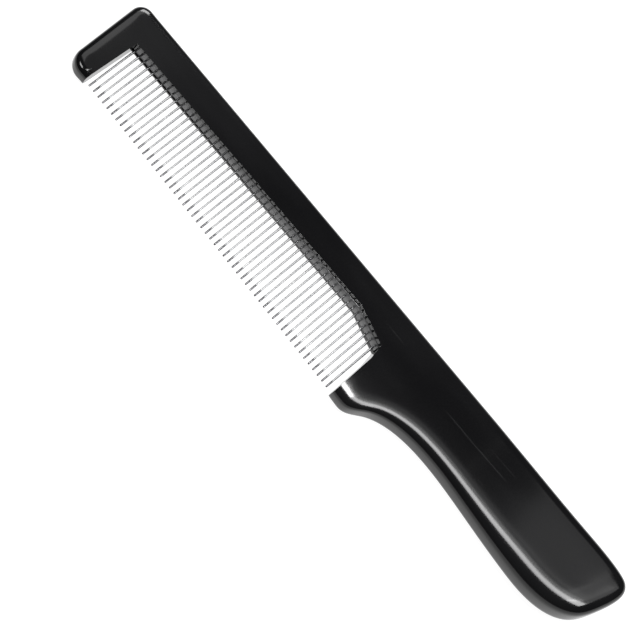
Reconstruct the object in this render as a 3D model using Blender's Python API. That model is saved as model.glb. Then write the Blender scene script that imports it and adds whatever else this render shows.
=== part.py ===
"""Pin-tooth hair comb: moulded frame with a handle, carrier bar let into its spine, row of steel pins.

Plan coordinates are millimetres: x runs from the head end to the tail end, y from the back edge (0) towards
the teeth (negative), z is the height above the mid-plane. The comb is built about its mid-plane, then laid on
its back face, so the tapering back face ends up flat on z = 0.
"""

import math

import bmesh
import bpy
import numpy as np
from mathutils import Matrix, Vector

MM = 0.001

# Thickness: the back face is flat; the front face rises evenly, then swells over the end of the handle
HEAD_HALF_THICKNESS = 2.7
HALF_THICKNESS_RISE = 0.01
SWELL = 1.2
SWELL_START_X = 150.0
SWELL_END_X = 198.0

# Handle: spline knots from the heel round the tail end to the back edge. Each holds x, y, how far the soft
# edge reaches in, and the power of the superellipse it follows
HANDLE_KNOTS = (
    (111.54, -31.14, 12.0, 4.4),
    (113.60, -31.36, 12.0, 4.4),
    (116.57, -31.21, 12.0, 4.8),
    (118.96, -29.82, 12.0, 5.5),
    (122.10, -27.06, 12.0, 6.2),
    (126.89, -24.54, 12.0, 5.9),
    (132.95, -23.05, 12.0, 5.4),
    (141.50, -22.43, 12.0, 5.2),
    (153.83, -23.10, 12.0, 4.8),
    (166.32, -24.41, 12.0, 4.3),
    (175.70, -25.24, 12.0, 4.0),
    (181.49, -25.47, 12.0, 4.0),
    (187.51, -24.95, 12.0, 4.1),
    (193.31, -23.09, 12.0, 4.3),
    (198.08, -19.35, 11.4, 4.3),
    (200.75, -13.64, 10.0, 4.0),
    (202.19, -8.04, 8.0, 3.8),
    (201.94, -4.66, 6.4, 3.6),
    (200.58, -3.05, 5.4, 3.5),
    (198.39, -2.28, 4.8, 3.5),
    (193.95, -1.74, 4.4, 3.5),
    (182.00, -1.32, 4.4, 3.5),
    (162.01, -0.54, 4.4, 3.5),
    (146.01, -0.20, 4.4, 3.5),
)
HANDLE_START_DIRECTION = (1.0, -0.2)
HANDLE_END_DIRECTION = (-1.0, 0.002)

# Soft edge of the back and of the head: reach and power
BACK_EDGE = (4.4, 3.5)
HEAD_EDGE = (6.0, 4.2)
ARM_END_EDGE = (5.0, 4.2)

# Head: corners and their radii
HEAD_TOP_CORNER = (-0.05, 0.08)
HEAD_TOP_RADIUS = 3.6
HEAD_LOW_CORNER = (0.32, -28.05)
HEAD_LOW_RADIUS = 4.7
ARM_TIP = (7.40, -27.85)

# Tooth opening: the frame's edge from the arm along the spine and down the heel
ARM_ROOT_X = 8.20
LIP_HEAD_Y = -10.05
LIP_BEND = (99.0, -9.30)
HEEL_WALL_TOP = (110.60, -12.60)
HEEL_WALL_KNEE = (111.26, -17.30)

# Levels of the soft edge, as angles from the outer edge (90) to the land (0)
EDGE_LEVELS_DEG = (90.0, 74.0, 57.0, 40.0, 22.0, 9.0, 0.0)
NORMAL_SMOOTHING = 6.0
LAND_CUTS = (152.0, 157.0, 162.0, 167.0, 172.0, 177.0, 182.0, 187.0, 192.0)

# Carrier bar and its channel
BAR_HALF_THICKNESS = 2.05
BAR_NOSE_Y = -9.70
BAR_DEPTH = 3.0
BAR_CHAMFER = 0.3
BAR_BEND_X = 99.3
BAR_END_X = 110.35
BAR_END_DROP = 2.85
CHANNEL_CLEARANCE = 0.2

# Pins
PIN_COUNT = 54
FIRST_PIN_X = 9.16
LAST_PIN_X = 109.38
PIN_BASE_RADIUS = 0.35
PIN_TIP_RADIUS = 0.27
PIN_ROOT_DEPTH = 2.2
FIRST_TIP_Y = -27.57
LAST_TIP_Y = -30.93
PIN_SIDES = 8
HOLE_CLEARANCE = 0.08

# Sampling of the curves
HANDLE_SAMPLES = 96
BACK_SAMPLES = 18
CORNER_SAMPLES = 9
ARM_SIDE_SAMPLES = 8


def clear_scene():
    for obj in list(bpy.data.objects):
        bpy.data.objects.remove(obj, do_unlink=True)


def material(name, colour, roughness, metallic):
    made = bpy.data.materials.new(name)
    made.use_nodes = True
    shader = made.node_tree.nodes["Principled BSDF"]
    shader.inputs["Base Color"].default_value = (*colour, 1.0)
    shader.inputs["Roughness"].default_value = roughness
    shader.inputs["Metallic"].default_value = metallic
    return made


def clamped_spline(knots, start, end, count):
    """Rows on the twice-smooth curve through the knots. Its first two columns are plan positions, whose end
    directions are given; the other columns end level."""
    knots = np.array(knots)
    steps = np.linalg.norm(np.diff(knots[:, :2], axis=0), axis=1)
    at = np.concatenate([[0.0], np.cumsum(steps)])
    last = len(knots) - 1
    system = np.zeros((last + 1, last + 1))
    right = np.zeros((last + 1, knots.shape[1]))
    system[0, 0] = 1.0
    system[last, last] = 1.0
    right[0, :2] = np.array(start) / np.linalg.norm(start)
    right[last, :2] = np.array(end) / np.linalg.norm(end)
    for i in range(1, last):
        before = steps[i - 1]
        after = steps[i]
        system[i, i - 1] = after
        system[i, i] = 2.0 * (before + after)
        system[i, i + 1] = before
        rise_before = (knots[i] - knots[i - 1]) / before
        rise_after = (knots[i + 1] - knots[i]) / after
        right[i] = 3.0 * (after * rise_before + before * rise_after)
    slopes = np.linalg.solve(system, right)
    rows = []
    for where in np.linspace(0.0, at[-1], count):
        i = min(int(np.searchsorted(at, where, side="right")) - 1, last - 1)
        h = steps[i]
        t = (where - at[i]) / h
        rows.append(
            (2 * t**3 - 3 * t**2 + 1) * knots[i]
            + (t**3 - 2 * t**2 + t) * h * slopes[i]
            + (3 * t**2 - 2 * t**3) * knots[i + 1]
            + (t**3 - t**2) * h * slopes[i + 1]
        )
    return rows


def rounded_corner(before, corner, after, radius, count):
    """Points on the arc that rounds a corner, from the side of before to the side of after."""
    corner = np.array(corner, float)
    towards_before = np.array(before, float) - corner
    towards_before /= np.linalg.norm(towards_before)
    towards_after = np.array(after, float) - corner
    towards_after /= np.linalg.norm(towards_after)
    half = 0.5 * math.acos(float(towards_before @ towards_after))
    middle = towards_before + towards_after
    centre = corner + middle / np.linalg.norm(middle) * radius / math.sin(half)
    first = corner + towards_before * radius / math.tan(half) - centre
    last = corner + towards_after * radius / math.tan(half) - centre
    turn = math.pi - 2.0 * half
    points = []
    for t in np.linspace(0.0, 1.0, count):
        bent = math.sin((1 - t) * turn) * first + math.sin(t * turn) * last
        points.append(centre + bent / math.sin(turn))
    return points


def line(start, end, count):
    """Evenly spaced points strictly between the two ends."""
    start = np.array(start, float)
    end = np.array(end, float)
    return [start + (end - start) * t for t in np.linspace(0.0, 1.0, count + 2)[1:-1]]


def outer_curve():
    """The frame's outer edge: heel, handle, tail, back edge, head, arm tip. Rows are x, y, reach, power."""
    rows = clamped_spline(HANDLE_KNOTS, HANDLE_START_DIRECTION, HANDLE_END_DIRECTION, HANDLE_SAMPLES)
    handle_end = rows[-1][:2]
    top = rounded_corner(handle_end, HEAD_TOP_CORNER, HEAD_LOW_CORNER, HEAD_TOP_RADIUS, CORNER_SAMPLES)
    low = rounded_corner(HEAD_TOP_CORNER, HEAD_LOW_CORNER, ARM_TIP, HEAD_LOW_RADIUS, CORNER_SAMPLES)
    points = line(handle_end, top[0], BACK_SAMPLES)
    points += top
    points += line(top[-1], low[0], ARM_SIDE_SAMPLES)
    points += low
    points += line(low[-1], ARM_TIP, 1)
    points.append(np.array(ARM_TIP))
    for point in points:
        rows.append(np.array([*point, *head_edge(point[1])]))
    return np.array(rows)


def smooth_step(low, high, value):
    t = min(max((value - low) / (high - low), 0.0), 1.0)
    return t * t * (3.0 - 2.0 * t)


def swell(x):
    """How far the handle's mid-surface has risen: the front rises twice as far, the back not at all."""
    return SWELL * smooth_step(SWELL_START_X, SWELL_END_X, x)


def half_thickness(x):
    return HEAD_HALF_THICKNESS + HALF_THICKNESS_RISE * x + swell(x)


def head_edge(y):
    """Reach and power of the soft edge along the back and round the head."""
    shape = np.array(ARM_END_EDGE)
    shape += (np.array(HEAD_EDGE) - shape) * smooth_step(-27.0, -20.0, y)
    shape += (np.array(BACK_EDGE) - shape) * smooth_step(-9.0, -1.0, y)
    return shape


def inward_directions(points, first, last):
    """Smoothed inward normals of the outer curve, which keep clear of each other at the corners."""
    tangents = np.gradient(points, axis=0)
    tangents /= np.linalg.norm(tangents, axis=1)[:, None]
    normals = np.stack([-tangents[:, 1], tangents[:, 0]], axis=1)
    steps = np.linalg.norm(np.diff(points, axis=0), axis=1)
    at = np.concatenate([[0.0], np.cumsum(steps)])
    weights_each = np.gradient(at)
    smoothed = np.empty_like(normals)
    for i, here in enumerate(at):
        weights = weights_each * np.exp(-0.5 * ((at - here) / NORMAL_SMOOTHING) ** 2)
        smoothed[i] = (normals * weights[:, None]).sum(axis=0)
        nearest = min(here, at[-1] - here)
        wall = first if here < at[-1] - here else last
        share = 1.0 - smooth_step(0.0, 4.0, nearest)
        smoothed[i] /= np.linalg.norm(smoothed[i])
        smoothed[i] = smoothed[i] * (1.0 - share) + np.array(wall) * share
        smoothed[i] /= np.linalg.norm(smoothed[i])
    return smoothed


def unit(start, end):
    direction = np.array(end, float) - np.array(start, float)
    return direction / np.linalg.norm(direction)


def crossing(start, direction, other, other_direction):
    """Where two lines in plan meet."""
    system = np.array([direction, -np.array(other_direction)]).T
    along = np.linalg.solve(system, np.array(other, float) - np.array(start, float))[0]
    return np.array(start, float) + along * np.array(direction)


def bar_line(depth):
    """The carrier bar's edge at a depth behind its nose: head end, bend and heel end."""
    slope = unit((BAR_BEND_X, BAR_NOSE_Y), (BAR_END_X, BAR_NOSE_Y - BAR_END_DROP))
    normal = np.array([-slope[1], slope[0]])
    straight = np.array([0.0, BAR_NOSE_Y + depth])
    bend = crossing(straight, (1.0, 0.0), np.array([BAR_BEND_X, BAR_NOSE_Y]) + normal * depth, slope)
    return straight, bend, slope


def frame_mesh():
    """The moulded frame as one closed mesh, its channel included."""
    mesh = bmesh.new()
    rows = outer_curve()
    outer = rows[:, :2]
    arm_root = np.array([ARM_ROOT_X, LIP_HEAD_Y])
    arm_direction = unit(ARM_TIP, arm_root)
    heel_direction = unit(outer[0], HEEL_WALL_KNEE)
    inward = inward_directions(outer, heel_direction, arm_direction)
    levels = [math.radians(degrees) for degrees in EDGE_LEVELS_DEG]

    def vertex(point, share):
        height = half_thickness(point[0]) * share + swell(point[0])
        return mesh.verts.new((point[0], point[1], height))

    rings = {1: [], -1: []}
    equator = [vertex(point, 0.0) for point in outer]
    for side in (1, -1):
        rings[side].append(equator)
        for level in levels[1:]:
            ring = []
            for (x, y, width, power), direction in zip(rows, inward):
                reach = 1.0 - math.sin(level) ** (2.0 / power)
                share = math.cos(level) ** (2.0 / power) * side
                ring.append(vertex(np.array([x, y]) + direction * width * reach, share))
            rings[side].append(ring)
        for low, high in zip(rings[side][:-1], rings[side][1:]):
            for i in range(len(outer) - 1):
                quad = [low[i], low[i + 1], high[i + 1], high[i]]
                mesh.faces.new(quad if side > 0 else quad[::-1])

    # The tooth opening's edge in plan, from the arm root to the heel, and the channel's back line behind it
    back_straight, back_bend, back_slope = bar_line(BAR_DEPTH + CHANNEL_CLEARANCE)
    heel_top_direction = unit(HEEL_WALL_KNEE, HEEL_WALL_TOP)
    lip = [arm_root, np.array(LIP_BEND), np.array(HEEL_WALL_TOP)]
    back = [
        crossing(arm_root, arm_direction, back_straight, (1.0, 0.0)),
        back_bend,
        crossing(HEEL_WALL_TOP, heel_top_direction, back_bend, back_slope),
    ]
    ledge = BAR_HALF_THICKNESS + CHANNEL_CLEARANCE
    columns = []
    for lip_point, back_point in zip(lip, back):
        columns.append(
            [
                vertex(lip_point, 1.0),
                mesh.verts.new((*lip_point, ledge)),
                mesh.verts.new((*back_point, ledge)),
                mesh.verts.new((*back_point, -ledge)),
                mesh.verts.new((*lip_point, -ledge)),
                vertex(lip_point, -1.0),
            ]
        )
    for left, right in zip(columns[:-1], columns[1:]):
        for i in range(5):
            mesh.faces.new([left[i], left[i + 1], right[i + 1], right[i]])

    # The arm's inner wall and the heel's wall, closed in with the ends of the soft edge
    top_rings = rings[1]
    low_rings = rings[-1]
    arm_wall = [row[-1] for row in low_rings[::-1]] + [row[-1] for row in top_rings[1:]]
    mesh.faces.new(arm_wall + columns[0])
    knee_top = vertex(HEEL_WALL_KNEE, 1.0)
    knee_low = vertex(HEEL_WALL_KNEE, -1.0)
    heel_wall = [row[0] for row in top_rings[::-1]] + [row[0] for row in low_rings[1:]]
    mesh.faces.new(heel_wall + [knee_low, knee_top])
    mesh.faces.new([knee_top, knee_low] + columns[-1][::-1])

    # The lands: the front one is cut across where the handle swells, the rear one is flat
    front = top_rings[-1] + [columns[0][0], columns[1][0], columns[2][0], knee_top]
    rear = low_rings[-1] + [columns[0][5], columns[1][5], columns[2][5], knee_low]
    lands = [mesh.faces.new(front)]
    mesh.faces.new(rear)
    for cut in LAND_CUTS:
        edges = {edge for land in lands for edge in land.edges}
        corners = {corner for land in lands for corner in land.verts}
        geom = [*lands, *edges, *corners]
        split = bmesh.ops.bisect_plane(mesh, geom=geom, plane_co=(cut, 0.0, 0.0), plane_no=(1.0, 0.0, 0.0))
        lands = [item for item in split["geom"] if isinstance(item, bmesh.types.BMFace)]
    bmesh.ops.recalc_face_normals(mesh, faces=mesh.faces)
    return mesh


def nose_y(x):
    """The carrier bar's nose line over the length of the comb."""
    if x <= BAR_BEND_X:
        return BAR_NOSE_Y
    return BAR_NOSE_Y - BAR_END_DROP * (x - BAR_BEND_X) / (BAR_END_X - BAR_BEND_X)


def bar_mesh():
    """The carrier bar: a chamfered strip with its heel end bent towards the teeth."""
    mesh = bmesh.new()
    head_end = (ARM_ROOT_X + CHANNEL_CLEARANCE, LIP_HEAD_Y)
    head_direction = unit(ARM_TIP, (ARM_ROOT_X, LIP_HEAD_Y))
    heel_end = (HEEL_WALL_TOP[0] - CHANNEL_CLEARANCE, HEEL_WALL_TOP[1])
    heel_direction = unit(HEEL_WALL_KNEE, HEEL_WALL_TOP)
    section = (
        (0.0, BAR_HALF_THICKNESS - BAR_CHAMFER),
        (BAR_CHAMFER, BAR_HALF_THICKNESS),
        (BAR_DEPTH, BAR_HALF_THICKNESS),
        (BAR_DEPTH, -BAR_HALF_THICKNESS),
        (BAR_CHAMFER, -BAR_HALF_THICKNESS),
        (0.0, -(BAR_HALF_THICKNESS - BAR_CHAMFER)),
    )
    rows = []
    for depth, height in section:
        straight, bend, slope = bar_line(depth)
        head = crossing(head_end, head_direction, straight, (1.0, 0.0))
        heel = crossing(heel_end, heel_direction, bend, slope)
        places = (head, bend, heel)
        rows.append([mesh.verts.new((*place, height)) for place in places])
    for low, high in zip(rows, rows[1:] + rows[:1]):
        for i in range(2):
            mesh.faces.new([low[i], high[i], high[i + 1], low[i + 1]])
    mesh.faces.new([row[0] for row in rows][::-1])
    mesh.faces.new([row[2] for row in rows])
    bmesh.ops.recalc_face_normals(mesh, faces=mesh.faces)
    return mesh


def turned(mesh, x, profile):
    """Adds a closed body turned about a line along y: the profile lists (y, radius) end to end."""
    rings = []
    for y, radius in profile:
        ring = []
        for k in range(PIN_SIDES):
            angle = 2.0 * math.pi * (k + 0.5) / PIN_SIDES
            ring.append(mesh.verts.new((x + radius * math.cos(angle), y, radius * math.sin(angle))))
        rings.append(ring)
    for low, high in zip(rings[:-1], rings[1:]):
        for k in range(PIN_SIDES):
            after = (k + 1) % PIN_SIDES
            mesh.faces.new([low[k], low[after], high[after], high[k]])
    mesh.faces.new(rings[0][::-1])
    mesh.faces.new(rings[-1])


def pin_places():
    """(x, root y, tip y) of every pin, from the head to the heel."""
    places = []
    for i in range(PIN_COUNT):
        share = i / (PIN_COUNT - 1)
        x = FIRST_PIN_X + (LAST_PIN_X - FIRST_PIN_X) * share
        tip = FIRST_TIP_Y + (LAST_TIP_Y - FIRST_TIP_Y) * share
        places.append((x, nose_y(x) + PIN_ROOT_DEPTH, tip))
    return places


def pin_mesh(root, tip):
    """One pin at x = 0: a straight root, a slight taper and a rounded tip."""
    mesh = bmesh.new()
    end = tip + PIN_TIP_RADIUS
    profile = (
        (root, PIN_BASE_RADIUS),
        (root - PIN_ROOT_DEPTH - 1.0, PIN_BASE_RADIUS),
        (end, PIN_TIP_RADIUS),
        (end - 0.6 * PIN_TIP_RADIUS, 0.8 * PIN_TIP_RADIUS),
        (tip, 0.35 * PIN_TIP_RADIUS),
    )
    turned(mesh, 0.0, profile)
    bmesh.ops.recalc_face_normals(mesh, faces=mesh.faces)
    return mesh


def hole_cutter():
    """One mesh with a short rod for every pin hole of the carrier bar."""
    mesh = bmesh.new()
    radius = PIN_BASE_RADIUS + HOLE_CLEARANCE
    for x, root, _ in pin_places():
        turned(mesh, x, ((root + 0.15, radius), (root - PIN_ROOT_DEPTH - 0.8, radius)))
    bmesh.ops.recalc_face_normals(mesh, faces=mesh.faces)
    return mesh


def lay_flat():
    """The placement that brings the flat back face down to z = 0."""
    turn = Matrix.Rotation(-math.atan(HALF_THICKNESS_RISE), 4, "Y")
    drop = Vector((0.0, 0.0, half_thickness(0.0) * MM))
    return turn @ Matrix.Translation(drop)


def add(name, mesh, surface, placement, smooth=False):
    for corner in mesh.verts:
        corner.co *= MM
    data = bpy.data.meshes.new(name)
    mesh.to_mesh(data)
    mesh.free()
    data.materials.append(surface)
    obj = bpy.data.objects.new(name, data)
    bpy.context.scene.collection.objects.link(obj)
    obj.matrix_world = placement
    if smooth:
        data.shade_smooth()
        data.set_sharp_from_angle(angle=math.radians(35.0))
    return obj


def centred(placement, obj):
    """The placement moved so that the object's box is centred on x and y."""
    corners = [placement @ corner.co for corner in obj.data.vertices]
    middle_x = 0.5 * (min(c.x for c in corners) + max(c.x for c in corners))
    middle_y = 0.5 * (min(c.y for c in corners) + max(c.y for c in corners))
    lowest = min(c.z for c in corners)
    return Matrix.Translation((-middle_x, -middle_y, -lowest)) @ placement


def build():
    clear_scene()
    black = material("comb_black_plastic", (0.012, 0.012, 0.013), 0.12, 0.0)
    carrier = material("carrier_dark_plastic", (0.03, 0.03, 0.032), 0.35, 0.0)
    steel = material("pin_polished_steel", (0.78, 0.78, 0.8), 0.12, 1.0)

    placement = lay_flat()
    frame = add("frame", frame_mesh(), black, placement, smooth=True)
    placement = centred(placement, frame)
    frame.matrix_world = placement

    bar = add("pin_bar", bar_mesh(), carrier, placement)
    holes = add("pin_hole_cutter", hole_cutter(), carrier, placement)
    holes.hide_render = True
    holes.display_type = "WIRE"
    cut = bar.modifiers.new("pin_holes", "BOOLEAN")
    cut.operation = "DIFFERENCE"
    cut.object = holes

    for number, (x, root, tip) in enumerate(pin_places(), start=1):
        along = Matrix.Translation((x * MM, 0.0, 0.0))
        add(f"pin_{number:02d}", pin_mesh(root, tip), steel, placement @ along, smooth=True)


build()
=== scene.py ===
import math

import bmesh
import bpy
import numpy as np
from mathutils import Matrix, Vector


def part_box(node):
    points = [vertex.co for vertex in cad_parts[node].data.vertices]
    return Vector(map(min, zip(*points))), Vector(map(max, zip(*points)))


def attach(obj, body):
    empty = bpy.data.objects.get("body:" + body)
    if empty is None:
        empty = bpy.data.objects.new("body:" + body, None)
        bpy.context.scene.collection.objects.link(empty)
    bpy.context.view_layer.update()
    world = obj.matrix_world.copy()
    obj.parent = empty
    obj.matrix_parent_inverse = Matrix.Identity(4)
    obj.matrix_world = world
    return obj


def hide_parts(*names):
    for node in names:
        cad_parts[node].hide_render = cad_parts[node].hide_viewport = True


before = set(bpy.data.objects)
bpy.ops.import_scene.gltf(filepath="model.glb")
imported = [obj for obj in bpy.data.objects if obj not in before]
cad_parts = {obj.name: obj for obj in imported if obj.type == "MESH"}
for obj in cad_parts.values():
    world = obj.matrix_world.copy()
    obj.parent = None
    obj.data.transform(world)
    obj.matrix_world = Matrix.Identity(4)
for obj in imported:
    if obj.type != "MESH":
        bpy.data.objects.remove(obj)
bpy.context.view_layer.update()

# Looks for a pin-tooth hair comb: a glossy black moulded frame, a satin carrier bar let into its spine,
# and a row of bright steel pins.
#
# Plan coordinates are millimetres: x runs from the head end to the tail end, y from the back edge (0)
# towards the teeth (negative), z is the height above the mid-plane. The comb is shaped about its mid-plane
# and then laid on its back face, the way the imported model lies.

MM = 0.001

# The distance (mm) within which vertices are merged
MERGE_DISTANCE = 1e-4

# A direction that passes the corners of a mesh one at a time
SORTING_DIRECTION = Vector((1.0, 0.618, 0.382))

# Thickness: the back face is flat; the front face rises evenly, then swells over the end of the handle
HEAD_HALF_THICKNESS = 2.7
HALF_THICKNESS_RISE = 0.01
SWELL = 1.2
SWELL_START_X = 150.0
SWELL_END_X = 198.0

# Handle: spline knots from the heel round the tail end to the back edge. Each holds x, y, how far the soft
# edge reaches in, and the power of the superellipse it follows
HANDLE_KNOTS = (
    (111.54, -31.14, 12.0, 4.4),
    (113.60, -31.36, 12.0, 4.4),
    (116.57, -31.21, 12.0, 4.8),
    (118.96, -29.82, 12.0, 5.5),
    (122.10, -27.06, 12.0, 6.2),
    (126.89, -24.54, 12.0, 5.9),
    (132.95, -23.05, 12.0, 5.4),
    (141.50, -22.43, 12.0, 5.2),
    (153.83, -23.10, 12.0, 4.8),
    (166.32, -24.41, 12.0, 4.3),
    (175.70, -25.24, 12.0, 4.0),
    (181.49, -25.47, 12.0, 4.0),
    (187.51, -24.95, 12.0, 4.1),
    (193.31, -23.09, 12.0, 4.3),
    (198.08, -19.35, 11.4, 4.3),
    (200.75, -13.64, 10.0, 4.0),
    (202.19, -8.04, 8.0, 3.8),
    (201.94, -4.66, 6.4, 3.6),
    (200.58, -3.05, 5.4, 3.5),
    (198.39, -2.28, 4.8, 3.5),
    (193.95, -1.74, 4.4, 3.5),
    (182.00, -1.32, 4.4, 3.5),
    (162.01, -0.54, 4.4, 3.5),
    (146.01, -0.20, 4.4, 3.5),
)
HANDLE_START_DIRECTION = (1.0, -0.2)
HANDLE_END_DIRECTION = (-1.0, 0.002)

# Soft edge of the back, of the head and of the arm's end: reach and power. Between them they turn smoothly
# into each other, over these stretches of y
BACK_EDGE = (4.4, 3.5)
HEAD_EDGE = (6.0, 4.2)
ARM_END_EDGE = (5.0, 4.2)
ARM_TO_HEAD_Y = (-27.0, -20.0)
HEAD_TO_BACK_Y = (-9.0, -1.0)

# Head: corners and their radii
HEAD_TOP_CORNER = (-0.05, 0.08)
HEAD_TOP_RADIUS = 3.6
HEAD_LOW_CORNER = (0.32, -28.05)
HEAD_LOW_RADIUS = 4.7
ARM_TIP = (7.40, -27.85)

# Tooth opening
ARM_ROOT = (8.20, -10.05)
LIP_BEND = (99.0, -9.30)
HEEL_WALL_TOP = (110.60, -12.60)
HEEL_WALL_KNEE = (111.26, -17.30)

# How finely the soft edge is drawn, the length of curve over which its inward directions are smoothed, and
# the length over which they turn to run along the walls of the tooth opening
EDGE_LEVELS = 22
NORMAL_SMOOTHING = 6.0
WALL_TURN = 4.0

# Cuts across the flat land of the handle, which let it follow the swell
LAND_CUT_END_X = 204.0
LAND_CUT_STEP = 1.5

# Rounding of the sharp lips, and the angle over which an edge is one
LIP_ROUNDING = 0.32
LIP_ANGLE = math.radians(35.0)

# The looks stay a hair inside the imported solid, round the edge and on the faces
INSET = 0.045
FACE_INSET = 0.4 * INSET

# Carrier bar. Its edges longer than BAR_LONG_EDGE are rounded
BAR_HALF_THICKNESS = 2.05
BAR_NOSE_Y = -9.70
BAR_DEPTH = 3.0
BAR_ROUNDING = 0.3
BAR_LONG_EDGE = 5.0
BAR_BEND_X = 99.3
BAR_HEEL_X = 110.35
BAR_HEEL_DROP = 2.85
BAR_CLEARANCE = 0.2

# Pins. Each stands PIN_STRAIGHT out of the bar before it tapers
PIN_COUNT = 54
FIRST_PIN_X = 9.16
LAST_PIN_X = 109.38
PIN_BASE_RADIUS = 0.35
PIN_TIP_RADIUS = 0.27
PIN_ROOT_DEPTH = 2.2
PIN_STRAIGHT = 1.0
FIRST_TIP_Y = -27.57
LAST_TIP_Y = -30.93
PIN_SIDES = 20
# How far back from the pin tips the steel is painted near-black, a painted darker reflection of the tapered
# tips
PAINTED_DARK_TIP_LENGTH = 2.6

# Sampling of the curves
HANDLE_SAMPLES = 300
BACK_SAMPLES = 90
CORNER_SAMPLES = 22
ARM_SIDE_SAMPLES = 34

# Camera: the point it looks at, tilt from the face's normal towards the teeth, turn, distance and lens
MIDDLE = (93.9, -19.81)
CAMERA_TILT = math.radians(26.0)
CAMERA_TURN = math.radians(50.03)
CAMERA_DISTANCE = 789.0
CAMERA_LENS = 170.35
CAMERA_SENSOR = 36.0

# Studio: the room's level and the white table, which mostly glows by itself
ROOM_LEVEL = 0.06
TABLE_HALF_SIZE = 2.5
TABLE_TONE = 0.12
TABLE_GLOW = 0.97

# Lights: the plan point each faces, its distance in metres, the angles it is seen at from that point and half
# its spread in degrees, and its radiance
LIGHTS = (
    ("key_softbox", MIDDLE, 1.2, (7.0, 6.0), (13.0, 5.5), 13.0),
    ("key_shoulder", MIDDLE, 1.2, (9.0, 11.0), (15.0, 6.0), 2.6),
    ("key_halo", MIDDLE, 1.2, (11.0, 13.0), (16.0, 9.5), 0.8),
    ("heel_softbox", (113.0, -29.0), 0.3, (-4.0, 6.5), (7.0, 6.5), 34.0),
    ("heel_halo", (113.0, -29.0), 0.3, (-4.0, 13.0), (8.0, 6.0), 2.0),
    ("right_softbox", MIDDLE, 1.2, (28.0, 6.0), (9.0, 6.0), 16.0),
    ("right_halo", MIDDLE, 1.2, (24.0, 17.0), (14.0, 12.0), 1.6),
    ("tail_halo", (184.0, -12.0), 0.15, (0.0, 26.0), (9.0, 9.0), 0.8),
    ("left_softbox", MIDDLE, 1.2, (-33.0, 50.0), (9.0, 9.0), 14.0),
    ("left_halo", (4.0, -14.0), 1.2, (-26.0, 28.0), (10.0, 10.0), 1.6),
    ("left_glow", (4.0, -14.0), 1.2, (-22.0, 27.0), (14.0, 10.0), 0.4),
    ("low_softbox", MIDDLE, 1.2, (-24.0, -6.0), (7.0, 6.0), 14.0),
)


def unit(start, end):
    direction = np.array(end, float) - np.array(start, float)
    return direction / np.linalg.norm(direction)


def crossing(start, direction, other, other_direction):
    """Where two lines in plan meet."""
    system = np.array([direction, -np.array(other_direction)]).T
    along = np.linalg.solve(system, np.array(other, float) - np.array(start, float))[0]
    return np.array(start, float) + along * np.array(direction)


def smooth_step(low, high, value):
    t = min(max((value - low) / (high - low), 0.0), 1.0)
    return t * t * (3.0 - 2.0 * t)


def clamped_spline(knots, start, end, count):
    """Rows on the twice-smooth curve through the knots. Its first two columns are plan positions, whose end
    directions are given; the other columns end level."""
    knots = np.array(knots)
    steps = np.linalg.norm(np.diff(knots[:, :2], axis=0), axis=1)
    at = np.concatenate([[0.0], np.cumsum(steps)])
    last = len(knots) - 1
    system = np.zeros((last + 1, last + 1))
    right = np.zeros((last + 1, knots.shape[1]))
    system[0, 0] = 1.0
    system[last, last] = 1.0
    right[0, :2] = np.array(start) / np.linalg.norm(start)
    right[last, :2] = np.array(end) / np.linalg.norm(end)
    for i in range(1, last):
        before = steps[i - 1]
        after = steps[i]
        system[i, i - 1] = after
        system[i, i] = 2.0 * (before + after)
        system[i, i + 1] = before
        rise_before = (knots[i] - knots[i - 1]) / before
        rise_after = (knots[i + 1] - knots[i]) / after
        right[i] = 3.0 * (after * rise_before + before * rise_after)
    slopes = np.linalg.solve(system, right)
    rows = []
    for where in np.linspace(0.0, at[-1], count):
        i = min(int(np.searchsorted(at, where, side="right")) - 1, last - 1)
        h = steps[i]
        t = (where - at[i]) / h
        rows.append(
            (2 * t**3 - 3 * t**2 + 1) * knots[i]
            + (t**3 - 2 * t**2 + t) * h * slopes[i]
            + (3 * t**2 - 2 * t**3) * knots[i + 1]
            + (t**3 - t**2) * h * slopes[i + 1]
        )
    return rows


def rounded_corner(before, corner, after, radius, count):
    """Points on the arc that rounds a corner, from the side of before to the side of after."""
    corner = np.array(corner, float)
    towards_before = unit(corner, before)
    towards_after = unit(corner, after)
    half = 0.5 * math.acos(float(towards_before @ towards_after))
    middle = towards_before + towards_after
    centre = corner + middle / np.linalg.norm(middle) * radius / math.sin(half)
    first = corner + towards_before * radius / math.tan(half) - centre
    last = corner + towards_after * radius / math.tan(half) - centre
    turn = math.pi - 2.0 * half
    points = []
    for t in np.linspace(0.0, 1.0, count):
        bent = math.sin((1 - t) * turn) * first + math.sin(t * turn) * last
        points.append(centre + bent / math.sin(turn))
    return points


def line(start, end, count):
    """Evenly spaced points strictly between the two ends."""
    start = np.array(start, float)
    end = np.array(end, float)
    return [start + (end - start) * t for t in np.linspace(0.0, 1.0, count + 2)[1:-1]]


def head_edge(y):
    """Reach and power of the soft edge along the back and round the head."""
    shape = np.array(ARM_END_EDGE)
    shape += (np.array(HEAD_EDGE) - shape) * smooth_step(*ARM_TO_HEAD_Y, y)
    shape += (np.array(BACK_EDGE) - shape) * smooth_step(*HEAD_TO_BACK_Y, y)
    return shape


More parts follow.
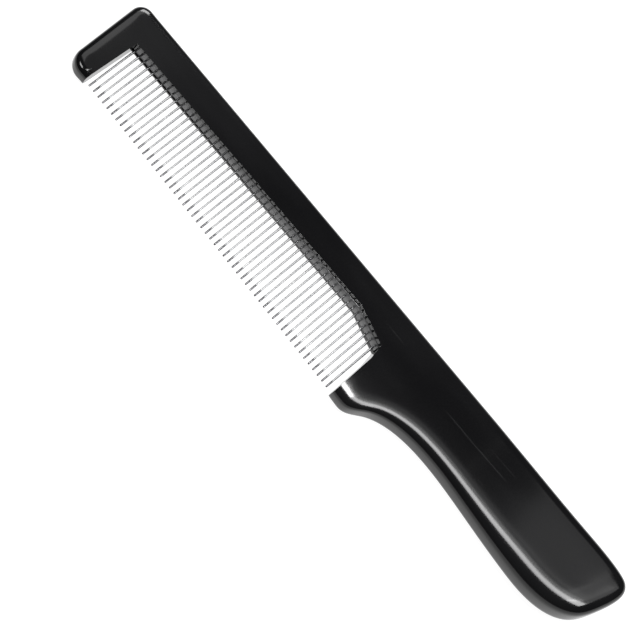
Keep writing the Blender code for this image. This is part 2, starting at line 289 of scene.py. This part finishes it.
def outer_curve():
    """The frame's outer edge: heel, handle, tail, back edge, head, arm tip. Rows are x, y, reach, power."""
    rows = clamped_spline(HANDLE_KNOTS, HANDLE_START_DIRECTION, HANDLE_END_DIRECTION, HANDLE_SAMPLES)
    handle_end = rows[-1][:2]
    top = rounded_corner(handle_end, HEAD_TOP_CORNER, HEAD_LOW_CORNER, HEAD_TOP_RADIUS, CORNER_SAMPLES)
    low = rounded_corner(HEAD_TOP_CORNER, HEAD_LOW_CORNER, ARM_TIP, HEAD_LOW_RADIUS, CORNER_SAMPLES)
    points = line(handle_end, top[0], BACK_SAMPLES)
    points += top
    points += line(top[-1], low[0], ARM_SIDE_SAMPLES)
    points += low
    points += line(low[-1], ARM_TIP, 6)
    points.append(np.array(ARM_TIP))
    for point in points:
        rows.append(np.array([*point, *head_edge(point[1])]))
    return np.array(rows)


def swell(x):
    """How far the handle's mid-surface has risen: the front rises twice as far, the back not at all."""
    return SWELL * smooth_step(SWELL_START_X, SWELL_END_X, x)


def half_thickness(x):
    return HEAD_HALF_THICKNESS + HALF_THICKNESS_RISE * x + swell(x)


def half_height(x):
    """The half thickness that is drawn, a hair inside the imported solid's."""
    return half_thickness(x) - FACE_INSET


def inward_directions(points, first, last):
    """Smoothed inward normals of the outer curve, which keep clear of each other at the corners."""
    tangents = np.gradient(points, axis=0)
    tangents /= np.linalg.norm(tangents, axis=1)[:, None]
    normals = np.stack([-tangents[:, 1], tangents[:, 0]], axis=1)
    steps = np.linalg.norm(np.diff(points, axis=0), axis=1)
    at = np.concatenate([[0.0], np.cumsum(steps)])
    weights_each = np.gradient(at)
    smoothed = np.empty_like(normals)
    for i, here in enumerate(at):
        weights = weights_each * np.exp(-0.5 * ((at - here) / NORMAL_SMOOTHING) ** 2)
        smoothed[i] = (normals * weights[:, None]).sum(axis=0)
        smoothed[i] /= np.linalg.norm(smoothed[i])
        wall = first if here < at[-1] - here else last
        share = 1.0 - smooth_step(0.0, WALL_TURN, min(here, at[-1] - here))
        smoothed[i] = smoothed[i] * (1.0 - share) + np.array(wall) * share
        smoothed[i] /= np.linalg.norm(smoothed[i])
    return smoothed


def bar_line(depth):
    """The carrier bar's edge at a depth behind its nose: a point on the straight part, bend, slope."""
    slope = unit((BAR_BEND_X, BAR_NOSE_Y), (BAR_HEEL_X, BAR_NOSE_Y - BAR_HEEL_DROP))
    normal = np.array([-slope[1], slope[0]])
    straight = np.array([0.0, BAR_NOSE_Y + depth])
    bend = crossing(straight, (1.0, 0.0), np.array([BAR_BEND_X, BAR_NOSE_Y]) + normal * depth, slope)
    return straight, bend, slope


def nose_y(x):
    """The carrier bar's nose line over the length of the comb."""
    if x <= BAR_BEND_X:
        return BAR_NOSE_Y
    return BAR_NOSE_Y - BAR_HEEL_DROP * (x - BAR_BEND_X) / (BAR_HEEL_X - BAR_BEND_X)


def resting_place():
    """The placement that lays the comb on its flat back face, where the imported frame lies."""
    turn = Matrix.Rotation(-math.atan(HALF_THICKNESS_RISE), 4, "Y")
    placed = turn @ Matrix.Translation((0.0, 0.0, HEAD_HALF_THICKNESS * MM))
    outline = outer_curve()
    spots = [placed @ Vector((x * MM, y * MM, swell(x) * MM)) for x, y in outline[:, :2]]
    low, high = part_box("frame")
    shift_x = high[0] - max(spot.x for spot in spots)
    shift_y = high[1] - max(spot.y for spot in spots)
    return Matrix.Translation((shift_x, shift_y, 0.0)) @ placed


PLACE = resting_place()


def on_plan(x, y):
    """Where a point of the comb's mid-plane lies, in metres."""
    return PLACE @ Vector((x * MM, y * MM, 0.0))


def add_object(name, data):
    obj = bpy.data.objects.new(name, data)
    bpy.context.scene.collection.objects.link(obj)
    return obj


def fixed_order(mesh):
    """Sorts the parts of a mesh by place, because some operators make them in an order that changes from one
    run to the next."""
    mesh.verts.sort(key=lambda vert: vert.co.dot(SORTING_DIRECTION))
    mesh.edges.sort(key=lambda edge: (edge.verts[0].co + edge.verts[1].co).dot(SORTING_DIRECTION))
    mesh.faces.sort(key=lambda face: face.calc_center_median().dot(SORTING_DIRECTION))


def ordered_chain(edges, below):
    """The vertices of an open chain of edges, from the end that stands on the vertex below."""
    linked = {}
    for edge in edges:
        for vert in edge.verts:
            linked.setdefault(vert, []).append(edge)
    tips = [vert for vert, near in linked.items() if len(near) == 1]
    tips.sort(key=lambda vert: not any(edge.other_vert(vert) is below for edge in vert.link_edges))
    chain = [tips[0]]
    edge = linked[chain[0]][0]
    while True:
        chain.append(edge.other_vert(chain[-1]))
        onward = [other for other in linked[chain[-1]] if other is not edge]
        if not onward:
            return chain
        edge = onward[0]


def soft_edge(mesh, outer, inward, shapes):
    """The front half's soft edge, ring by ring from the mid-plane up. Gives the last ring, which borders the
    flat land, and the columns of vertices at the heel's end and at the arm's end."""
    ring = [mesh.verts.new((*point, 0.0)) for point in outer]
    edges = [mesh.edges.new(pair) for pair in zip(ring[:-1], ring[1:])]
    heel_end = [ring[0]]
    arm_end = [ring[-1]]
    for level in range(1, EDGE_LEVELS + 1):
        angle = 0.5 * math.pi * (1.0 - level / EDGE_LEVELS)
        grown = bmesh.ops.extrude_edge_only(mesh, edges=edges)["geom"]
        edges = [item for item in grown if isinstance(item, bmesh.types.BMEdge)]
        ring = ordered_chain(edges, heel_end[-1])
        for vert, point, direction, (reach, power) in zip(ring, outer, inward, shapes):
            place = point + direction * reach * (1.0 - math.sin(angle) ** (2.0 / power))
            vert.co = (*place, half_height(place[0]) * math.cos(angle) ** (2.0 / power))
        edges = [mesh.edges.get(pair) for pair in zip(ring[:-1], ring[1:])]
        heel_end.append(ring[0])
        arm_end.append(ring[-1])
    return ring, heel_end, arm_end


def channel_columns(mesh, arm_direction):
    """Vertices down the lip, along the ledge over the carrier bar and down the back of its channel, in three
    columns: at the arm, at the bend and at the heel wall."""
    heel_direction = unit(HEEL_WALL_KNEE, HEEL_WALL_TOP)
    back_straight, back_bend, back_slope = bar_line(BAR_DEPTH + BAR_CLEARANCE)
    back = (
        crossing(ARM_ROOT, arm_direction, back_straight, (1.0, 0.0)),
        back_bend,
        crossing(HEEL_WALL_TOP, heel_direction, back_bend, back_slope),
    )
    ledge = BAR_HALF_THICKNESS + BAR_CLEARANCE
    columns = []
    for lip_point, back_point in zip((ARM_ROOT, LIP_BEND, HEEL_WALL_TOP), back):
        places = (
            (*lip_point, half_height(lip_point[0])),
            (*lip_point, ledge),
            (*back_point, ledge),
            (*back_point, 0.0),
        )
        columns.append([mesh.verts.new(place) for place in places])
    return columns


def cut_land(mesh, land):
    """Cuts the flat land across the handle."""
    lands = [land]
    for cut in np.arange(SWELL_START_X, LAND_CUT_END_X, LAND_CUT_STEP):
        edges = {edge for face in lands for edge in face.edges}
        corners = {corner for face in lands for corner in face.verts}
        geom = [*lands, *edges, *corners]
        split = bmesh.ops.bisect_plane(mesh, geom=geom, plane_co=(cut, 0.0, 0.0), plane_no=(1.0, 0.0, 0.0))
        lands = [item for item in split["geom"] if isinstance(item, bmesh.types.BMFace)]


def frame_shape():
    """The moulded frame: its front half is drawn about the mid-plane, mirrored, and swollen at the tail."""
    mesh = bmesh.new()
    rows = outer_curve()
    arm_direction = unit(ARM_TIP, ARM_ROOT)
    inward = inward_directions(rows[:, :2], unit(rows[0, :2], HEEL_WALL_KNEE), arm_direction)
    outer = rows[:, :2] + inward * INSET
    land, heel_end, arm_end = soft_edge(mesh, outer, inward, rows[:, 2:])

    columns = channel_columns(mesh, arm_direction)
    for left, right in zip(columns[:-1], columns[1:]):
        for i in range(3):
            mesh.faces.new([left[i], left[i + 1], right[i + 1], right[i]])
    knee_top = mesh.verts.new((*HEEL_WALL_KNEE, half_height(HEEL_WALL_KNEE[0])))
    knee_low = mesh.verts.new((*HEEL_WALL_KNEE, 0.0))
    mesh.faces.new(arm_end + columns[0])
    mesh.faces.new(heel_end[::-1] + [knee_low, knee_top])
    mesh.faces.new([knee_top, knee_low] + columns[-1][::-1])
    cut_land(mesh, mesh.faces.new(land + [column[0] for column in columns] + [knee_top]))

    everything = mesh.verts[:] + mesh.edges[:] + mesh.faces[:]
    bmesh.ops.mirror(mesh, geom=everything, axis="Z", merge_dist=MERGE_DISTANCE)
    bmesh.ops.remove_doubles(mesh, verts=mesh.verts, dist=MERGE_DISTANCE)
    for vert in mesh.verts:
        vert.co.z += swell(vert.co.x)
    bmesh.ops.recalc_face_normals(mesh, faces=mesh.faces)
    fixed_order(mesh)
    return mesh


def round_lips(mesh):
    """Rounds the frame's sharp outward edges, and gives the faces that round them."""
    lips = [edge for edge in mesh.edges if edge.is_convex and edge.calc_face_angle(0.0) > LIP_ANGLE]
    return bmesh.ops.bevel(
        mesh,
        geom=lips,
        offset=LIP_ROUNDING,
        offset_type="OFFSET",
        segments=6,
        profile=0.5,
        affect="EDGES",
        clamp_overlap=True,
        material=-1,
    )["faces"]


def bar_shape():
    """The carrier bar: a strip with rounded edges, whose heel end is bent towards the teeth. It is shaped from
    a block with corners at 1 and -1, cut once across its length."""
    mesh = bmesh.new()
    bmesh.ops.create_cube(mesh, size=2.0)
    along = [edge for edge in mesh.edges if edge.verts[0].co.x * edge.verts[1].co.x < 0.0]
    bmesh.ops.subdivide_edges(mesh, edges=along, cuts=1, use_grid_fill=True)
    arm_direction = unit(ARM_TIP, ARM_ROOT)
    heel_direction = unit(HEEL_WALL_KNEE, HEEL_WALL_TOP)
    head_end = (ARM_ROOT[0] + BAR_CLEARANCE, ARM_ROOT[1])
    heel_end = (HEEL_WALL_TOP[0] - BAR_CLEARANCE, HEEL_WALL_TOP[1])
    for vert in mesh.verts:
        straight, bend, slope = bar_line(BAR_DEPTH if vert.co.y > 0.0 else 0.0)
        head = crossing(head_end, arm_direction, straight, (1.0, 0.0))
        heel = crossing(heel_end, heel_direction, bend, slope)
        place = (head, bend, heel)[round(vert.co.x) + 1]
        vert.co = (*place, BAR_HALF_THICKNESS * vert.co.z)
    bmesh.ops.recalc_face_normals(mesh, faces=mesh.faces)
    fixed_order(mesh)
    long_edges = [edge for edge in mesh.edges if edge.calc_length() > BAR_LONG_EDGE]
    bmesh.ops.bevel(
        mesh,
        geom=long_edges,
        offset=BAR_ROUNDING,
        offset_type="OFFSET",
        segments=4,
        profile=0.5,
        affect="EDGES",
        material=-1,
    )
    return mesh


def pin_shape(x, root, tip):
    """One pin: a straight root, a slight taper and a rounded tip, spun about its own axis."""
    mesh = bmesh.new()
    end = tip + PIN_TIP_RADIUS
    shoulder = root - PIN_ROOT_DEPTH - PIN_STRAIGHT
    profile = [(0.0, root), (PIN_BASE_RADIUS, root), (PIN_BASE_RADIUS, shoulder)]
    for t in np.linspace(0.25, 1.0, 4):
        radius = PIN_BASE_RADIUS + (PIN_TIP_RADIUS - PIN_BASE_RADIUS) * t
        profile.append((radius, shoulder + (end - shoulder) * t))
    for angle in np.linspace(0.0, 0.5 * math.pi, 6)[1:]:
        profile.append((PIN_TIP_RADIUS * math.cos(angle), end - PIN_TIP_RADIUS * math.sin(angle)))
    verts = [mesh.verts.new((radius, y, 0.0)) for radius, y in profile]
    edges = [mesh.edges.new(pair) for pair in zip(verts[:-1], verts[1:])]
    bmesh.ops.spin(
        mesh,
        geom=verts + edges,
        cent=(0.0, 0.0, 0.0),
        axis=(0.0, 1.0, 0.0),
        angle=2.0 * math.pi,
        steps=PIN_SIDES,
        use_merge=True,
    )
    bmesh.ops.remove_doubles(mesh, verts=mesh.verts, dist=MERGE_DISTANCE)
    bmesh.ops.translate(mesh, verts=mesh.verts, vec=(x, 0.0, 0.0))
    bmesh.ops.recalc_face_normals(mesh, faces=mesh.faces)
    return mesh


def piece(name, mesh, finish, nodes, sharp=30.0, rim=()):
    """Turns a plan-coordinate mesh into a finished piece of the comb. Faces of a rounded rim shade apart from
    the flat faces beside them, which keeps those flat."""
    rim = set(rim)
    for face in mesh.faces:
        face.smooth = True
    for edge in mesh.edges:
        crease = edge.calc_face_angle(0.0) > math.radians(sharp)
        border = len({face in rim for face in edge.link_faces}) > 1
        edge.smooth = not (crease or border)
    fixed_order(mesh)
    bmesh.ops.scale(mesh, verts=mesh.verts, vec=(MM, MM, MM))
    bmesh.ops.transform(mesh, verts=mesh.verts, matrix=PLACE)
    data = bpy.data.meshes.new(name)
    mesh.to_mesh(data)
    mesh.free()
    data.materials.append(finish)
    obj = add_object(name, data)
    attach(obj, "root")
    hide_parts(*nodes)


class Value:
    """A node's output that takes part in Python arithmetic: each operation adds a Math node."""

    def __init__(self, finish, socket):
        self.finish = finish
        self.socket = socket

    def math(self, operation, other):
        made = self.finish.node("ShaderNodeMath", {"operation": operation}, {0: self, 1: other})
        return Value(self.finish, made.outputs[0])

    def __add__(self, other):
        return self.math("ADD", other)

    __radd__ = __add__

    def __sub__(self, other):
        return self.math("SUBTRACT", other)

    def __rsub__(self, other):
        return self * -1.0 + other

    def __mul__(self, other):
        return self.math("MULTIPLY", other)

    __rmul__ = __mul__

    def over(self, low, high):
        """0 below low, 1 above high, smooth between."""
        made = self.finish.node(
            "ShaderNodeMapRange",
            {"interpolation_type": "SMOOTHSTEP"},
            {"Value": self, "From Min": low, "From Max": high},
        )
        return Value(self.finish, made.outputs["Result"])


class Finish:
    """A material in the making: its Principled shader and the nodes that feed it."""

    def __init__(self, name, **settings):
        self.material = bpy.data.materials.new(name)
        self.material.use_nodes = True
        self.tree = self.material.node_tree
        self.shader = self.tree.nodes["Principled BSDF"]
        for socket, value in settings.items():
            self.shader.inputs[socket.replace("_", " ")].default_value = value
        self.place = self.node("ShaderNodeTexCoord").outputs["Object"]

    def node(self, kind, settings=None, inputs=None):
        made = self.tree.nodes.new(kind)
        for name, value in (settings or {}).items():
            setattr(made, name, value)
        for name, value in (inputs or {}).items():
            if isinstance(value, Value):
                self.tree.links.new(value.socket, made.inputs[name])
            elif isinstance(value, bpy.types.NodeSocket):
                self.tree.links.new(value, made.inputs[name])
            else:
                made.inputs[name].default_value = value
        return made

    def feed(self, socket, value):
        self.tree.links.new(value.socket if isinstance(value, Value) else value, self.shader.inputs[socket])

    def noise(self, scale, detail=2.0, stretch=(1.0, 1.0, 1.0), turn=0.0):
        """Noise with scale cycles a metre, stretched along x, y and z and turned about z on the object."""
        mapping = {"Vector": self.place, "Scale": stretch, "Rotation": (0.0, 0.0, turn)}
        where = self.node("ShaderNodeMapping", {}, mapping).outputs[0]
        made = self.node("ShaderNodeTexNoise", {}, {"Vector": where, "Scale": scale, "Detail": detail})
        return Value(self, made.outputs["Fac"])

    def beyond_tip_line(self, set_back):
        """How far (metres) a point lies past a line set back from the row of pin tips, towards the tips."""
        first = on_plan(FIRST_PIN_X, FIRST_TIP_Y + set_back)
        last = on_plan(LAST_PIN_X, LAST_TIP_Y + set_back)
        slope = (last.y - first.y) / (last.x - first.x)
        parts = self.node("ShaderNodeSeparateXYZ", {}, {"Vector": self.place}).outputs
        x = Value(self, parts["X"])
        y = Value(self, parts["Y"])
        return slope * x + (first.y - slope * first.x) - y

    def blend(self, share, first, second):
        """A colour between two, each a socket or an RGBA value. The Mix node's colour sockets go by number,
        because its other kinds have the same names."""
        made = self.node("ShaderNodeMix", {"data_type": "RGBA"}, {0: share, 6: first, 7: second})
        return made.outputs[2]

    def bump(self, height, distance):
        made = self.node("ShaderNodeBump", {}, {"Height": height, "Distance": distance, "Strength": 1.0})
        self.feed("Normal", made.outputs[0])


def black_gloss():
    """High-gloss black moulding: faint flow marks, orange peel, hairline scratches from use."""
    finish = Finish("black_gloss_plastic", IOR=1.4)
    flow = finish.noise(38.0, detail=3.0, stretch=(0.35, 1.0, 1.0))
    peel = finish.noise(900.0)
    hair_a = finish.noise(520.0, stretch=(0.05, 1.6, 1.0), turn=0.35)
    hair_b = finish.noise(640.0, stretch=(0.04, 1.5, 1.0), turn=-0.6)
    scratches = hair_a.over(0.70, 0.76) + hair_b.over(0.71, 0.77)
    tone = finish.blend(flow.over(0.35, 0.7), (0.0022, 0.0022, 0.0025, 1.0), (0.005, 0.005, 0.0054, 1.0))
    finish.feed("Base Color", tone)
    finish.feed("Roughness", 0.1 + 0.03 * flow.over(0.3, 0.75) + 0.08 * scratches)
    finish.bump(flow * 0.6 + peel * 0.02 - scratches * 0.01, distance=0.00002)
    return finish.material


def satin_black():
    """Satin black strip: a fine even grain."""
    finish = Finish("satin_black_plastic", IOR=1.6)
    grain = finish.noise(2600.0, detail=3.0)
    cloud = finish.noise(120.0)
    tone = finish.blend(cloud.over(0.3, 0.7), (0.055, 0.055, 0.057, 1.0), (0.08, 0.08, 0.082, 1.0))
    finish.feed("Base Color", tone)
    finish.feed("Roughness", 0.3 + 0.08 * cloud + 0.05 * grain)
    finish.bump(grain, distance=0.00001)
    return finish.material


def polished_steel():
    """Bright polished steel wire: polish lines along the pin, small tone changes, and a painted darker
    reflection of the tapered tips: a near-black base colour over the last stretch of each pin.
    """
    finish = Finish("polished_steel", Metallic=1.0)
    lines = finish.noise(5200.0, stretch=(1.0, 0.03, 1.0))
    cloud = finish.noise(300.0, stretch=(1.0, 0.4, 1.0))
    tone = finish.blend(cloud.over(0.3, 0.7), (0.66, 0.665, 0.68, 1.0), (0.76, 0.76, 0.765, 1.0))
    # Painted darker reflection: near the tip line the base colour turns near-black and the roughness rises
    painted_dark_tip = finish.beyond_tip_line(PAINTED_DARK_TIP_LENGTH).over(-0.0006, 0.0006)
    finish.feed("Base Color", finish.blend(painted_dark_tip, tone, (0.12, 0.12, 0.125, 1.0)))
    finish.feed("Roughness", 0.08 + 0.08 * lines.over(0.3, 0.7) + 0.04 * cloud + 0.1 * painted_dark_tip)
    finish.bump(lines, distance=0.000004)
    return finish.material


def build_comb():
    gloss = black_gloss()
    satin = satin_black()
    steel = polished_steel()
    body = frame_shape()
    rim = round_lips(body)
    piece("moulded_frame", body, gloss, ["frame"], rim=rim)
    piece("carrier_bar", bar_shape(), satin, ["pin_bar"])
    for i in range(PIN_COUNT):
        share = i / (PIN_COUNT - 1)
        x = FIRST_PIN_X + (LAST_PIN_X - FIRST_PIN_X) * share
        tip = FIRST_TIP_Y + (LAST_TIP_Y - FIRST_TIP_Y) * share
        mesh = pin_shape(x, nose_y(x) + PIN_ROOT_DEPTH, tip)
        piece(f"steel_pin_{i + 1:02d}", mesh, steel, [f"pin_{i + 1:02d}"], sharp=50.0)


def plan_direction(tilt_x, tilt_y):
    """A direction tilted from the face's normal by angles (degrees) towards +x and +y."""
    along = Vector((math.tan(math.radians(tilt_x)), math.tan(math.radians(tilt_y)), 1.0)).normalized()
    return (PLACE.to_3x3() @ along).normalized()


def softbox(name, over, distance, tilt, spread, radiance):
    """A soft light that faces a plan point of the comb: its distance (m), the angles it is seen at from there
    and half its spread (degrees)."""
    data = bpy.data.lights.new(name, "AREA")
    data.shape = "RECTANGLE"
    data.size = 2.0 * distance * math.tan(math.radians(spread[0]))
    data.size_y = 2.0 * distance * math.tan(math.radians(spread[1]))
    data.energy = radiance * math.pi * data.size * data.size_y
    direction = plan_direction(*tilt)
    across = direction.cross(PLACE.to_3x3().col[0]).normalized()
    facing = Matrix((across.cross(direction), across, direction)).transposed().to_4x4()
    spot = Matrix.Translation(on_plan(*over) + direction * distance)
    add_object(name, data).matrix_world = spot @ facing


def add_camera():
    data = bpy.data.cameras.new("camera")
    data.sensor_width = CAMERA_SENSOR
    data.lens = CAMERA_LENS
    data.clip_start = 0.01
    data.clip_end = 20.0
    turn = PLACE.to_3x3()
    along = turn @ Vector((1.0, 0.0, 0.0))
    towards_teeth = turn @ Vector((0.0, -math.cos(CAMERA_TILT), -math.sin(CAMERA_TILT)))
    backwards = turn @ Vector((0.0, -math.sin(CAMERA_TILT), math.cos(CAMERA_TILT)))
    right = along * math.cos(CAMERA_TURN) - towards_teeth * math.sin(CAMERA_TURN)
    down = along * math.sin(CAMERA_TURN) + towards_teeth * math.cos(CAMERA_TURN)
    place = Matrix((right, -down, backwards)).transposed().to_4x4()
    place.translation = on_plan(*MIDDLE) + backwards * CAMERA_DISTANCE * MM
    camera = add_object("camera", data)
    camera.matrix_world = place
    bpy.context.scene.camera = camera


def add_floor():
    mesh = bmesh.new()
    bmesh.ops.create_grid(mesh, x_segments=1, y_segments=1, size=TABLE_HALF_SIZE)
    data = bpy.data.meshes.new("floor")
    mesh.to_mesh(data)
    mesh.free()
    finish = Finish(
        "white_table",
        Roughness=0.9,
        Base_Color=(TABLE_TONE, TABLE_TONE, TABLE_TONE, 1.0),
        Emission_Color=(1.0, 1.0, 1.0, 1.0),
        Emission_Strength=TABLE_GLOW,
        Specular_IOR_Level=0.0,
    )
    data.materials.append(finish.material)
    floor = add_object("floor", data)


def add_light():
    world = bpy.data.worlds.new("studio")
    world.use_nodes = True
    background = world.node_tree.nodes["Background"]
    background.inputs["Color"].default_value = (ROOM_LEVEL, ROOM_LEVEL, ROOM_LEVEL, 1.0)
    background.inputs["Strength"].default_value = 1.0
    bpy.context.scene.world = world
    for light in LIGHTS:
        softbox(*light)


add_camera()
add_floor()
add_light()
build_comb()
bpy.context.scene.view_settings.view_transform = "Standard"
